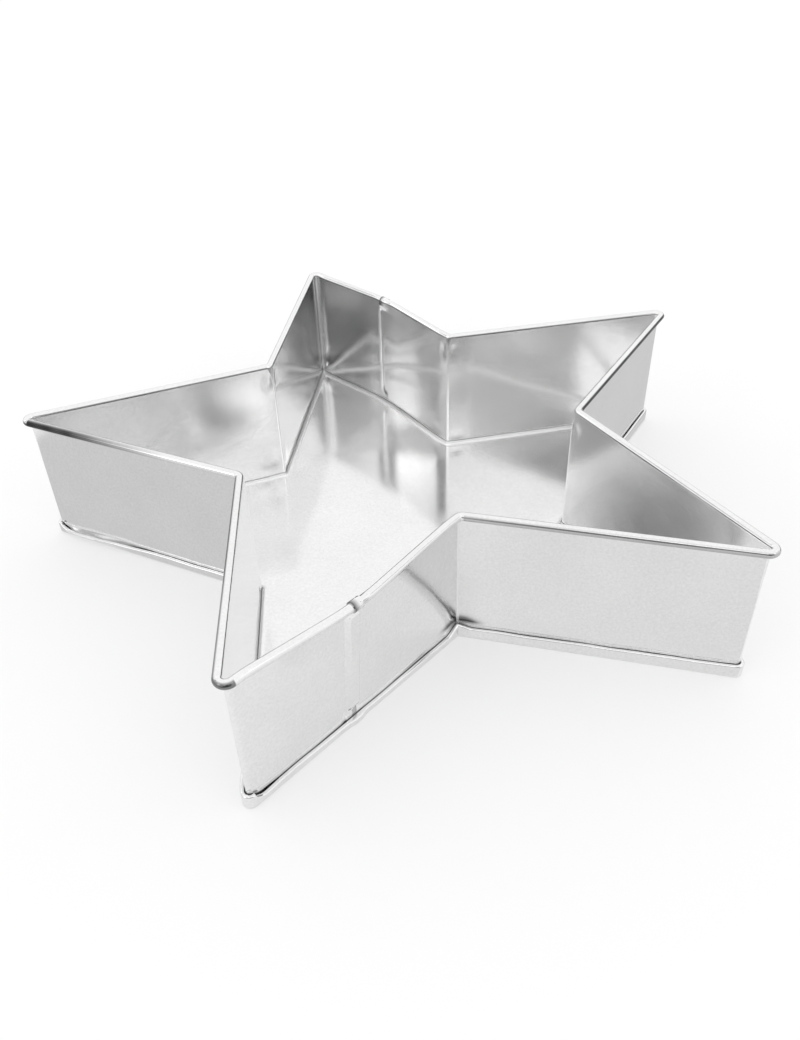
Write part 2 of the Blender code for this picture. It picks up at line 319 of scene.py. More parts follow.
# Shallow buckles in millimetres: wall, distance and height of both ends, half width, depth
BUCKLES = (
    (1, 22.0, 42.0, 58.0, 12.0, 6.0, 0.07),
    (0, 8.0, 14.0, 80.0, 22.0, 4.0, 0.05),
)
BUCKLE_END = 0.3

# Long soft waves of a wall: depth, radians along the wall, up it, and from one wall to the next
WALL_WAVES = (
    (0.00003, 4.3, 2.3, 1.7),
    (0.00001, 9.1, -3.7, 3.57),
)

# Distances over which the waves grow from the corners, the foot and the rim, and the dents from the rim
WAVE_FROM_CORNER = (0.001, 0.020)
WAVE_FROM_FOOT = (0.001, 0.012)
WAVE_FROM_RIM = (0.0015, 0.012)
DENT_FROM_RIM = (0.0015, 0.0035)


def wall_marks(wall, along, height):
    """How far the tin stands out of true: long soft waves that die out at the corners, the foot
    and the rim, the dents, each a bell in both directions, and the buckles, each a bell across a
    line between two places."""
    below_rim = ROLL_HEIGHT - height
    fade = soft_step(along, *WAVE_FROM_CORNER) * soft_step(WALL_LENGTH - along, *WAVE_FROM_CORNER)
    fade = fade * soft_step(height, *WAVE_FROM_FOOT) * soft_step(below_rim, *WAVE_FROM_RIM)
    marks = np.zeros(along.shape)
    for depth, by_length, by_height, by_wall in WALL_WAVES:
        angle = by_length * along / WALL_LENGTH + by_height * height / DEPTH + by_wall * wall
        marks = marks + depth * np.sin(angle) * fade
    inner = soft_step(below_rim, *DENT_FROM_RIM)
    for dent_wall, where, high, half_length, half_height, push in DENTS:
        bell = hump(along, where * MM, half_length * MM) * hump(height, high * MM, half_height * MM)
        marks = marks + push * MM * bell * inner * (wall == dent_wall)
    for buckle_wall, x0, z0, x1, z1, half_width, push in BUCKLES:
        start = np.array([x0, z0]) * MM
        line = np.array([x1, z1]) * MM - start
        length = np.linalg.norm(line)
        ahead = ((along - start[0]) * line[0] + (height - start[1]) * line[1]) / length
        across = ((along - start[0]) * line[1] - (height - start[1]) * line[0]) / length
        end = BUCKLE_END * length
        ends = soft_step(ahead, 0, end) * soft_step(length - ahead, 0, end)
        bell = hump(across, 0, half_width * MM) * ends
        marks = marks + push * MM * bell * inner * (wall == buckle_wall)
    return marks


# The left arm is bent up a little: the lift of its foot, the distances from the tip over which it
# falls, and the heights over which it fades out of the wall
ARM_LIFT = 0.0010
ARM_LIFT_ENDS = (0.002, 0.088)
ARM_LIFT_FADE = (0.002, 0.016)


def foot_lift(outline, along):
    """How far the base is off the table."""
    return ARM_LIFT * (1 - soft_step(outline.from_corner(LEFT_TIP, along), *ARM_LIFT_ENDS))


# Drops of the band's top along a wall: wall, drop at its start, growth to its end, and the height of a
# long wave in it. The band also drops round the left tip, over the two distances from it.
BAND_DROPS = (
    (FRONT_FOLD, 0.0028, 0, 0.0002),
    (FRONT_RIGHT_TIP, 0.0004, 0.0008, 0),
    (LEFT_FOLD, 0.0018, 0.0004, 0),
)
LONG_WAVE = 7
LEFT_TIP_DROP = 0.0010
LEFT_TIP_DROP_ENDS = (0.002, 0.050)
BAND_CORNER = 0.006


def band_drop(outline, along):
    """How far the band's top is below its full height: the drops, and a small wander of two sines,
    which both fade out at the wall's corners."""
    wall = outline.corner
    u = np.clip(along / WALL_LENGTH, 0, 1)
    drop = 0.00007 * np.sin(23 * u + wall) + 0.00004 * np.sin(41 * u + 2 * wall)
    for low_wall, start, growth, wave in BAND_DROPS:
        drop = drop + (start + growth * u - wave * np.cos(LONG_WAVE * u)) * (wall == low_wall)
    ends = soft_step(along, 0, BAND_CORNER) * soft_step(WALL_LENGTH - along, 0, BAND_CORNER)
    at_left_tip = 1 - soft_step(outline.from_corner(LEFT_TIP, along), *LEFT_TIP_DROP_ENDS)
    return drop * ends + LEFT_TIP_DROP * at_left_tip


# Openings between the band's top and the wall, beside a corner: corner, width, the distances from the
# corner over which it opens, and those over which it closes
BAND_OPENINGS = (
    (LEFT_TIP, 0.00130, 0.001, 0.010, 0.014, 0.052),
    (FRONT_TIP, 0.00030, 0.0015, 0.004, 0.006, 0.013),
)
OPENING_CURVE = 1.5


def band_opening(outline, along):
    """How far the band's top stands off the wall: a long wedge by the left tip, short slits beside
    the front tip, and a hair's wander everywhere."""
    opening = 0.00004 * (1 + np.sin(17 * along / WALL_LENGTH + 2.1 * outline.corner))
    for corner, width, open_from, open_to, close_from, close_to in BAND_OPENINGS:
        near = outline.from_corner(corner, along)
        closed = soft_step(near, close_from, close_to)
        opening = opening + width * soft_step(near, open_from, open_to) * (1 - closed)
    return opening


def band_shift(outline, along, height):
    """How far the band is moved out by its opening and up by its drop, which is below 0. Both grow
    from the bend to the band's top."""
    up_share = np.clip((height - SHEET) / (BAND_HEIGHT - SHEET), 0, 1)
    up = -band_drop(outline, along) * up_share
    return band_opening(outline, along) * up_share ** OPENING_CURVE, up


def finish_mesh(name, points, faces, shade, material, slot, node):
    """A sheet from its middle surface: thickened evenly to both sides, by no more than a stated
    distance, shaded smooth with its cut edges sharp, and put in the place of a node of the frame.
    The shade is a point attribute: how much painted shade darkens each point on the sheet's two sides,
    or below 0 how far it wears, which makes it rougher and paints it paler as a highlight."""
    mesh = bpy.data.meshes.new(name)
    mesh.from_pydata(points, [], faces)
    mesh.update()
    piece = bpy.data.objects.new(name, mesh)
    bpy.context.scene.collection.objects.link(piece)
    solid = piece.modifiers.new("sheet thickness", "SOLIDIFY")
    solid.thickness = SHEET
    solid.offset = 0
    solid.use_even_offset = True
    graph = bpy.context.evaluated_depsgraph_get()
    made = bpy.data.meshes.new_from_object(piece.evaluated_get(graph))
    skins = np.empty(len(made.vertices) * 3)
    made.vertices.foreach_get("co", skins)
    skins = skins.reshape(2, -1, 3)
    offset = skins - points
    too_far = np.maximum(np.linalg.norm(offset, axis=-1, keepdims=True) / FURTHEST_SKIN, 1)
    made.vertices.foreach_set("co", (points + offset / too_far).ravel())
    # Painted shade, and below 0 wear with a painted highlight
    painted_shade_and_wear = made.attributes.new("painted_shade_and_wear", "FLOAT", "POINT")
    painted_shade_and_wear.data.foreach_set("value", shade.ravel().astype(np.float32))
    piece.modifiers.clear()
    piece.data = made
    made.name = name
    made.shade_smooth()
    made.set_sharp_from_angle(angle=SHARP_EDGE)
    made.materials.clear()
    made.materials.append(material)
    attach(piece, "root")
    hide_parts(node)


def grid_faces(held, closed):
    """Quads between neighbouring held points of a grid, numbered in reading order."""
    number = np.cumsum(held).reshape(held.shape) - 1
    if closed:
        held = np.hstack([held, held[:, :1]])
        number = np.hstack([number, number[:, :1]])
    corners = [(slice(None, -1), slice(None, -1)), (slice(1, None), slice(None, -1))]
    corners += [(slice(1, None), slice(1, None)), (slice(None, -1), slice(1, None))]
    whole = np.logical_and.reduce([held[c] for c in corners])
    return np.stack([number[c][whole] for c in corners], -1)


def wall_section():
    """The rows of a wall: flange, wall and roll, each with its distance out and its height, once
    plain and once for the rim's lap. The wall leans out by a hair towards the roll."""
    hook = [(2 * BAND_LAYER, HEM_HIGH - SHEET / 2)]
    flange = arc((BAND_LAYER, HEM_LOW), BAND_LAYER, 0, -math.pi, HEM_ROWS)
    top = ROLL_HEIGHT - ROLL_RADIUS - 2 * SEAM_LAYER
    low = BAND_HEIGHT + SHEET + JOGGLE_RISE
    high = top - JOGGLE_RISE
    foot = np.linspace(HEM_LOW, low, FOOT_ROWS + 1)[1:]
    inner = low + HOOK_SETBACK + (high - low - 2 * HOOK_SETBACK) * graded(WALL_ROWS)
    heights = np.concatenate([foot, inner, [high, high + JOGGLE_RISE / 2, top]])
    wall = np.column_stack([np.zeros(len(heights)), heights])
    middle = (ROLL_OUT, ROLL_HEIGHT)
    roll = arc(middle, ROLL_RADIUS, math.pi, ROLL_END, ROLL_ROWS)
    wide = arc(middle, ROLL_RADIUS + SEAM_LAYER, math.pi, LAP_ROLL_END, ROLL_ROWS)
    neck = np.column_stack([0 * NECK_SHARES, top + (ROLL_HEIGHT - top) * NECK_SHARES])
    plain = np.vstack([hook, flange, wall, neck, roll])
    lapped = np.vstack([hook, flange, wall, neck, wide])
    first_wall = len(hook) + len(flange)
    top_row = first_wall + len(wall) - 1
    before_roll = top_row + 1 + len(neck)
    lapped[top_row:before_roll, 0] = -SEAM_LAYER
    for section in (plain, lapped):
        rows = slice(first_wall, before_roll)
        lean = soft_step(section[rows, 1], ROLL_HEIGHT - RIM_LEAN, ROLL_HEIGHT)
        section[rows, 0] += (ROLL_OUT - ROLL_RADIUS) * lean
    return plain, lapped, first_wall, top_row


PLAIN, LAPPED, WALL_ROW, TOP_ROW = wall_section()
LOW_ROW = WALL_ROW + FOOT_ROWS - 1
HOOK_ROWS = slice(LOW_ROW + 1, TOP_ROW - 2)


def inner_end():
    """The strip end that lies inside at a seam, as (along, out, lapped). It stays flat, then folds
    outward and back into a hook."""
    wide_from = -SEAM_TURN - SEAM_LAYER
    flat = [(wide_from - LAP_TAPER, 0, 0), (wide_from, 0, 1), (0, 0, 1), (SEAM_TURN, 0, 1)]
    bend = arc((SEAM_TURN, SEAM_LAYER), SEAM_LAYER, -math.pi / 2, math.pi / 2, HEM_ROWS)[1:]
    hook = [(SEAM_TURN - HOOK_LENGTH, 2 * SEAM_LAYER)]
    return np.array(flat + [(x, y, 0) for x, y in [*bend, *hook]]), len(flat)


def outer_end(run):
    """The strip end that lies outside at a seam. It rises over the other strip's hook in a soft
    step of a given run, goes over it, and folds inward and back between hook and wall."""
    share = np.linspace(0, 1, RISE_STEPS + 1)
    start = -SEAM_TURN - 2 * SEAM_LAYER - run
    rise = np.column_stack([start + run * share, 3 * SEAM_LAYER * soft_step(share, 0, 1)])
    over = [(0, 3 * SEAM_LAYER), (SEAM_TURN, 3 * SEAM_LAYER)]
    bend = arc((SEAM_TURN, 2 * SEAM_LAYER), SEAM_LAYER, math.pi / 2, -math.pi / 2, HEM_ROWS)[1:]
    hook = [(SEAM_TURN - HOOK_LENGTH, SEAM_LAYER)]
    return np.array([(x, y, 0) for x, y in [*rise, *over, *bend, *hook]]), len(rise) + len(over)


def seam_columns(shape, flat_count, seam, sense, is_outer):
    """The grid of a strip's end at a seam, and which of its points the strip has: all rows in its
    flat part, the wall and rim in the last flat column, and the hook's rows beyond it."""
    along, out, lapped = shape.T
    row = np.arange(len(PLAIN))[:, None]
    section = np.where((lapped > 0)[None, :, None], LAPPED[:, None], PLAIN[:, None])
    along = np.broadcast_to(along, section.shape[:2]).copy()
    if is_outer:
        out = out * ((row >= LOW_ROW) & (row < TOP_ROW - 1))
    else:
        out = np.broadcast_to(out, section.shape[:2])
        along[TOP_ROW:, flat_count - 1] = RIM_LAP
    xy = seam.place(sense * along, out + section[..., 0], section[..., 1])
    held = np.zeros(section.shape[:2], bool)
    held[:, : flat_count - 1] = True
    held[WALL_ROW:, flat_count - 1] = True
    held[HOOK_ROWS, flat_count:] = True
    return np.concatenate([xy, section[..., 1:]], -1), held


def strip(first_seam, last_seam, first_shape, last_shape, flat_count, is_outer):
    """A wall strip between two seams, clockwise: the points of its middle surface, its faces and
    the painted shade and wear on both of its sides. Its ends have the given shapes."""
    first = first_seam.wall + 1
    last = last_seam.wall
    corners = [(first + n) % len(STEP) for n in range((last - first) % len(STEP) + 1)]
    gap = SEAM_TURN + 2 * SEAM_LAYER + FRONT_RUN + LAP_TAPER
    lead_in = (first_seam.from_start + gap) / WALL_LENGTH
    lead_out = (last_seam.from_start - gap) / WALL_LENGTH
    outline = Outline(corners, lead_in, lead_out)
    out, height = PLAIN.T
    row = np.arange(len(PLAIN))
    is_roll = row > TOP_ROW + len(NECK_SHARES)
    fold_bend = np.where(is_roll, WIRE_FOLD_BEND + WIRE_OUT - out, fold_bends(out, height))
    place, outward, along = outline.rows(out, height, fold_bend)
    z = np.broadcast_to(height[:, None], along.shape)
    push = wall_marks(outline.corner, along, z)
    opened, raised = band_shift(outline, along, z)
    is_flange = (row < WALL_ROW - 1)[:, None]
    place = place + (push + opened * is_flange)[..., None] * outward
    lift = foot_lift(outline, along) * (1 - soft_step(z, *ARM_LIFT_FADE))
    middle = np.concatenate([place, (z + raised * is_flange + lift)[..., None]], -1)
    start, start_held = seam_columns(first_shape, flat_count, first_seam, -1, is_outer)
    end, end_held = seam_columns(last_shape, flat_count, last_seam, 1, is_outer)
    start[0, :, 2] -= band_drop_at_seam(first_seam)
    end[0, :, 2] -= band_drop_at_seam(last_seam)
    points = np.concatenate([start[:, ::-1], middle, end], 1)
    held = np.hstack([start_held[:, ::-1], np.ones(middle.shape[:2], bool), end_held])
    shade = wall_painted_shade_and_wear(outline, along)
    before = np.repeat(shade[..., :1], start.shape[1], -1)
    after = np.repeat(shade[..., -1:], end.shape[1], -1)
    # Painted shadow on the bead at each lapped strip end, where the step between the strips shades it
    lap_end = flat_count - 2 if is_outer else flat_count - 1
    after[1, TOP_ROW + 1 :, lap_end] = LAP_END_PAINTED_SHADOW
    before[1, TOP_ROW + 1 :, -1 - lap_end] = LAP_END_PAINTED_SHADOW
    shade = np.concatenate([before, shade, after], -1)
    return points[held], grid_faces(held, False), shade[:, held]


# Painted shade on the bead, on its lower and outer side, where it would mirror dark surroundings and the
# crevice: wall, its share at the wall's start and end, and the angles round the bead (0 outward, 90 up)
# between which it fades
BEAD_PAINTED_SHADE = (
    (RIGHT_TIP, 1.00, 1.00, 34, 54),
    (FRONT_RIGHT_TIP, 0.44, 0.40, 30, 60),
    (FRONT_FOLD, 0.02, 0.10, -30, 20),
    (FRONT_TIP, 0.80, 0.95, 45, 75),
    (LEFT_FOLD, -0.70, 1.50, 45, 125),
    (LEFT_TIP, 1.00, -12.0, 0, 50),
)
# Painted shadow at the lap's step on the bead
LAP_END_PAINTED_SHADOW = 0.9

# Painted shade on the outside under the bead, where the crevice between bead and wall is in shade: wall,
# share at its start and end, how far down it reaches, and its soft end above and below that
UNDER_BEAD = (
    (RIGHT_TIP, 0.90, 0.90, 0.0026),
    (LEFT_FOLD, -0.60, 0.60, 0.0024),
)
UNDER_BEAD_END = (0.0004, 0.0003)

# A faint shade inside under the bead: strength, how far down, half height
INNER_SHADE = 0.04
INNER_SHADE_DOWN = 0.0014
INNER_SHADE_HALF = 0.0007

# Darker spots on the outside beside the front fold's foot, sizes in millimetres: wall, distance along
# it, height, half length, half height, and strength
SPOTS = (
    (4, 89.5, 6.8, 3.6, 1.6, 1.10),
    (4, 85.5, 6.6, 2.6, 0.9, 0.60),
    (5, 2.4, 6.6, 3.4, 1.5, 1.00),
    (5, 5.8, 6.8, 2.4, 0.9, 0.50),
)


def wall_painted_shade_and_wear(outline, along):
    """How much painted shade darkens a strip on its outer and inner side, from 0 to 1, and -1 where the
    foot wears, which makes it rougher and paints it paler as a highlight. The inner side goes over the
    rim and becomes the outside of the bead."""
    wall = outline.corner
    u = np.clip(along / WALL_LENGTH, 0, 1)
    height = PLAIN[:, 1][:, None]
    depth = ROLL_HEIGHT - height
    row = np.arange(len(PLAIN))[:, None]
    is_below_bead = row <= TOP_ROW + 1
    turned = np.clip((row - TOP_ROW - 1 - len(NECK_SHARES)) / ROLL_ROWS, 0, 1)
    angle = np.degrees(math.pi + (ROLL_END - math.pi) * turned)
    uneven = 0.97 + 0.03 * np.sin(19 * u + 2.0 * wall) * np.sin(47 * u + wall)
    inner = INNER_SHADE * hump(depth, INNER_SHADE_DOWN, INNER_SHADE_HALF) * is_below_bead
    outer = np.zeros(along.shape)
    # Painted shade on the bead's lower and outer side
    for bead_wall, first, last, low, high in BEAD_PAINTED_SHADE:
        share = np.clip(first + (last - first) * u, 0, 1) * (1 - soft_step(angle, low, high))
        inner = inner + share * uneven * (row > TOP_ROW) * (wall == bead_wall)
    # Painted shade on the outside of the wall under the bead
    for bead_wall, first, last, reach in UNDER_BEAD:
        share = np.clip(first + (last - first) * u, 0, 1) * (wall == bead_wall)
        highest, lowest = reach - UNDER_BEAD_END[0], reach + UNDER_BEAD_END[1] * uneven
        near_bead = (1 - soft_step(depth, highest, lowest)) * is_below_bead
        outer = outer + share * uneven * near_bead
    for spot_wall, where, high, half_length, half_height, strength in SPOTS:
        bell = hump(along, where * MM, half_length * MM) * hump(height, high * MM, half_height * MM)
        outer = outer + strength * bell * (wall == spot_wall) * (row <= TOP_ROW) * (row >= WALL_ROW)
    # The foot's lowest part: rougher, and painted paler as a highlight against the crevice's shade
    inner = inner - 1.0 * (height < WORN_HEIGHT)
    return np.clip(np.stack([outer, inner + 0 * along]), -1, 1)


def band_drop_at_seam(seam):
    """The band's drop where a seam meets it."""
    place = Outline([seam.wall])
    place.corner = np.array([seam.wall])
    return band_drop(place, np.array([[seam.from_start]]))[0, 0]


def base_section():
    """The rows of the base's edge: the ridge along the foot of the walls, the bend, the upright leg
    and the fold, each with its distance out and its height. The ridge's height falls by
    exp(-distance / width) inward."""
    inside = RIDGE_OUT - (RIDGE_REACH + RIDGE_OUT) * np.linspace(1, 0, RIDGE_ROWS) ** RIDGE_CROWDING
    sweep = np.exp((inside - RIDGE_OUT) / RIDGE_WIDTH) - math.exp(-RIDGE_REACH / RIDGE_WIDTH)
    ridge = np.column_stack([inside, SHEET / 2 + RIDGE_HEIGHT * sweep])
    ridge = np.vstack([ridge, [(x, SHEET / 2 + share * RIDGE_HEIGHT) for x, share in RIDGE_BACK]])
    under = [(1.5 * BAND_LAYER, SHEET / 2)]
    bend_middle = (3 * BAND_LAYER - BAND_BEND, SHEET / 2 + BAND_BEND)
    bend = arc(bend_middle, BAND_BEND, -math.pi / 2, 0, BEND_ROWS)
    leg_heights = np.linspace(SHEET / 2 + BAND_BEND, HEM_HIGH, LEG_STEPS + 1)[1:-1]
    leg = [(3 * BAND_LAYER, z) for z in leg_heights]
    fold = arc((2 * BAND_LAYER, HEM_HIGH), BAND_LAYER, 0, math.pi, HEM_ROWS)
    return np.vstack([ridge, under, bend, leg, fold, [(BAND_LAYER, HEM_LOW)]])


def base():
    """The star-shaped floor with its folded edge, as rings from the middle outward: the points of
    its middle surface, its faces, and its wear on both sides. The ridge is rubbed rougher and painted
    paler as a highlight."""
    outline = Outline(list(STEP))
    out, height = base_section().T
    place, outward, along = outline.rows(out, height, fold_bends(out, height * 0))
    swell = np.zeros(place.shape[:2])
    for seam in SEAMS:
        near = np.abs(along - seam.from_start) - SEAM_TURN - 3 * SEAM_LAYER
        here = outline.corner == seam.wall
        swell = swell + BAND_SWELL * here * (1 - soft_step(near, 0, SWELL_RAMP))
    swell = swell * np.clip((out - BAND_LAYER) / (2 * BAND_LAYER), 0, 1)[:, None]
    z = np.broadcast_to(height[:, None], along.shape)
    opened, raised = band_shift(outline, along, z)
    is_band = (out > BAND_LAYER / 2)[:, None]
    u = along / WALL_LENGTH
    bumps = RIDGE_BUMPS * (1 + np.sin(31 * u + 1.9 * outline.corner) * np.sin(13 * u + outline.corner))
    bumps = bumps * hump(out, RIDGE_OUT, BUMPS_WIDTH)[:, None]
    place = place + (swell + opened * is_band)[..., None] * outward
    lift = foot_lift(outline, along)
    edge = np.concatenate([place, (z + raised * is_band + lift + bumps)[..., None]], -1)
    share = np.linspace(0, 1, FLOOR_RINGS + 1)[1:-1, None, None]
    middle = np.array([0, 0, SHEET / 2])
    floor = share * edge[0] + (1 - share) * middle
    floor[..., 2] = SHEET / 2 + (edge[0, :, 2] - SHEET / 2) * share[..., 0] ** FLOOR_SWEEP
    marks = floor_marks(floor[..., 0], floor[..., 1])
    floor[..., 2] += FLOOR_MARK_SHARE * np.maximum(marks, 0) * (1 - share[..., 0] ** 8)
    grid = np.concatenate([floor, edge])
    faces = [list(f) for f in grid_faces(np.ones(grid.shape[:2], bool), True)]
    points = np.vstack([grid.reshape(-1, 3), [middle]])
    # The ridge's wear: rougher, and painted paler as a highlight
    on_ridge = (out > -WORN_REACH) & (out < BAND_LAYER / 2)
    wear_and_painted_sheen = np.concatenate([np.zeros(len(floor)), -1.0 * on_ridge])[:, None] * np.ones(grid.shape[:2])
    shade = np.tile(np.append(wear_and_painted_sheen.ravel(), 0), (2, 1))
    columns = grid.shape[1]
    ring = np.arange(columns)
    fan = np.column_stack([ring, (ring + 1) % columns, np.full(columns, len(points) - 1)])
    return points, [list(f) for f in fan] + faces, shade


# Buckles in the floor beside the folds' feet, in millimetres: corner, distance inward from it,
# distance to its left, half lengths towards the middle and across, and height
FLOOR_BUCKLES = (
    (BACK_LEFT_FOLD, 7.0, 2.0, 6.0, 2.2, 0.10),
    (BACK_LEFT_FOLD, 12.0, -7.0, 9.0, 4.0, -0.07),
    (BACK_RIGHT_FOLD, 8.0, 0.0, 9.0, 2.4, 0.07),
    (BACK_TIP, 30.0, 2.0, 22.0, 3.4, 0.06),
    (RIGHT_FOLD, 9.0, 0.0, 8.0, 3.2, 0.06),
    (LEFT_FOLD, 8.0, 2.0, 7.0, 3.2, 0.07),
)


def floor_marks(x, y):
    """Heights of the floor's marks: two long shallow waves and the buckles, each a bell in both
    directions. The waves only rise, because the floor rests on the table."""
    height = 0.00005 * (1 + np.sin(70 * x + 40 * y)) + 0.00003 * (1 + np.sin(45 * x - 90 * y + 1))
    for corner, inward, left, half_inward, half_across, push in FLOOR_BUCKLES:
        to_middle = -CORNER[corner] / CORNER_REACH[corner]
        aside = left_of(to_middle)
        ahead = (x - CORNER[corner, 0]) * to_middle[0] + (y - CORNER[corner, 1]) * to_middle[1]
        across = (x - CORNER[corner, 0]) * aside[0] + (y - CORNER[corner, 1]) * aside[1]
        bell = hump(ahead, inward * MM, half_inward * MM) * hump(across, left * MM, half_across * MM)
        height = height + push * MM * bell
    return height


class Socket:
    """An output of a shader node. Arithmetic with it adds Math nodes."""

    def __init__(self, tree, output):
        self.tree = tree
        self.output = output

    def maths(self, operation, first, second):
        return add_node(self.tree, "ShaderNodeMath", {"operation": operation}, {0: first, 1: second})

    def at_least_0(self):
        """The larger of the socket's value and 0."""
        return self.maths("MAXIMUM", self, 0.0)

    def __add__(self, other):
        return self.maths("ADD", self, other)

    def __radd__(self, other):
        return self.maths("ADD", other, self)

    def __sub__(self, other):
        return self.maths("SUBTRACT", self, other)

    def __rsub__(self, other):
        return self.maths("SUBTRACT", other, self)

    def __mul__(self, other):
        return self.maths("MULTIPLY", self, other)

    def __rmul__(self, other):
        return self.maths("MULTIPLY", other, self)


def add_node(tree, kind, settings=None, inputs=None, output=0):
    """Adds a node: its settings first, then the values or links of its sockets."""
    node = tree.nodes.new(kind)
    for key, value in (settings or {}).items():
        setattr(node, key, value)
    for key, value in (inputs or {}).items():
        if isinstance(value, Socket):
            tree.links.new(value.output, node.inputs[key])
        else:
            node.inputs[key].default_value = value
    return Socket(tree, node.outputs[output])


def noise(tree, place, scale, detail):
    return add_node(tree, "ShaderNodeTexNoise", None, {"Vector": place, "Scale": scale, "Detail": detail})


def tin_material(name, grain_scale):
    """Bright tin plate: a neutral mirror, blurred a little, with the rolling grain of the sheet, a
    cloudy bloom and a fine mottle. Painted shade darkens it, and wear, which is that attribute below 0,
    makes it rougher and paints it paler as a highlight."""
    material = bpy.data.materials.new(name)
    material.use_nodes = True
    tree = material.node_tree
    shader = tree.nodes["Principled BSDF"]
    place = add_node(tree, "ShaderNodeTexCoord", output="Object")
    stretched = add_node(tree, "ShaderNodeMapping", None, {"Vector": place, "Scale": grain_scale})
    grain = noise(tree, stretched, 1.0, 3.0)
    cloud = noise(tree, place, 45.0, 4.0)
    fine = noise(tree, place, 1200.0, 4.0)
    painted_shade_and_wear = add_node(tree, "ShaderNodeAttribute", {"attribute_name": "painted_shade_and_wear"}, output="Fac")
    wear_and_painted_sheen = (0 - painted_shade_and_wear).at_least_0()
    # Painted shade darkens the tone; wear paints it paler as a highlight
    tone = (0.68 + 0.09 * cloud + 0.16 * fine + 0.14 * wear_and_painted_sheen) * (1 - 0.96 * painted_shade_and_wear.at_least_0())
    colour = add_node(tree, "ShaderNodeCombineColor", None, {0: tone, 1: tone, 2: tone})
    rough = 0.075 + 0.060 * cloud + 0.045 * grain + 0.38 * wear_and_painted_sheen
    relief = {"Height": 0.55 * grain + 0.45 * fine, "Strength": 0.5, "Distance": 0.000020}
    bump = add_node(tree, "ShaderNodeBump", None, relief)
    shader.inputs["Metallic"].default_value = 1
    tree.links.new(colour.output, shader.inputs["Base Color"])
    tree.links.new(rough.output, shader.inputs["Roughness"])
    tree.links.new(bump.output, shader.inputs["Normal"])
    return material


def wire_material():
    """Plain drawn steel wire with fine draw marks and a little dullness."""
    material = bpy.data.materials.new("drawn_steel_wire")
    material.use_nodes = True
    tree = material.node_tree
    shader = tree.nodes["Principled BSDF"]
    place = add_node(tree, "ShaderNodeTexCoord", output="Object")
    marks = noise(tree, place, 900.0, 3.0)
    tone = 0.50 + 0.12 * marks
    colour = add_node(tree, "ShaderNodeCombineColor", None, {0: tone, 1: tone * 1.01, 2: tone * 1.02})
    shader.inputs["Metallic"].default_value = 1
    tree.links.new(colour.output, shader.inputs["Base Color"])
    tree.links.new((0.28 + 0.2 * marks).output, shader.inputs["Roughness"])
    return material


def stage_material(name):
    """An empty material for the studio, with its output node."""
    material = bpy.data.materials.new(name)
    material.use_nodes = True
    tree = material.node_tree
    tree.nodes.clear()
    return material, tree, tree.nodes.new("ShaderNodeOutputMaterial")


def studio_floor():
    """A pale floor. Where the camera or the tin sees it, it is nearer to white, and it keeps the
    pan's shadow."""
    mesh = bpy.data.meshes.new("studio_floor")
    half = 6.0
    whiteness = 0.42
    corners = [(-half, -half, 0), (half, -half, 0), (half, half, 0), (-half, half, 0)]
    mesh.from_pydata(corners, [], [(0, 1, 2, 3)])
    floor = bpy.data.objects.new("studio_floor", mesh)
    bpy.context.scene.collection.objects.link(floor)
    material, tree, output = stage_material("pale_floor")
    path = tree.nodes.new("ShaderNodeLightPath")
    rays = [Socket(tree, path.outputs[f"Is {kind} Ray"]) for kind in ("Camera", "Glossy", "Transmission")]
    matt = add_node(tree, "ShaderNodeBsdfDiffuse", None, {"Color": (0.88, 0.88, 0.88, 1)})
    white = add_node(tree, "ShaderNodeEmission", None, {"Strength": 1.0})
    share = (rays[0] + rays[1] + rays[2]) * whiteness
    mix = add_node(tree, "ShaderNodeMixShader", None, {0: share, 1: matt, 2: white})
    tree.links.new(mix.output, output.inputs["Surface"])
    mesh.materials.append(material)


# The studio's grey cards: name, distance, bearing of both ends (0 behind the pan, 90 to its right),
# lowest and highest elevation in degrees, grey, and how wide their soft edges are in degrees. They
# give the bright tin its dark parts.
CARDS = (
    ("camera_side", 3.0, 154, 217, -3, 27.5, 0.34, 3.0),
    ("photographer", 2.8, -180.5, -164, -3, 29.6, 0.09, 2.0),
    ("camera_top", 2.9, 161, 178, 20, 30.2, 0.36, 1.6),
    ("left_flag", 3.0, -68, -56, 32.7, 42, 0.22, 2.2),
    ("left_wall", 3.1, -99, -66, 26.5, 31.6, 0.55, 3.0),
    ("left_top", 2.9, -141, -127, 28, 36, 0.45, 3.0),
    ("right_wall", 2.9, 95, 110, 27.5, 32.6, 0.30, 1.6),
    ("front_low", 0.27, -178, -132, -3, 11, 0.28, 3.0),
    ("behind", 0.55, -40, 60, -3, 9, 0.42, 3.0),
    ("low_left", 0.40, -132, -60, -3, 7, 0.46, 3.0),
    ("low_right", 0.45, 62, 105, -3, 14, 0.44, 3.0),
)
CARD_COLUMNS = 33
CARD_ROWS = 17


def seen_only_in_tin(stand):
    """Makes a thing of the studio visible in reflections only."""
    bpy.context.scene.collection.objects.link(stand)
    stand.visible_camera = False
    stand.visible_diffuse = False
    stand.visible_shadow = False


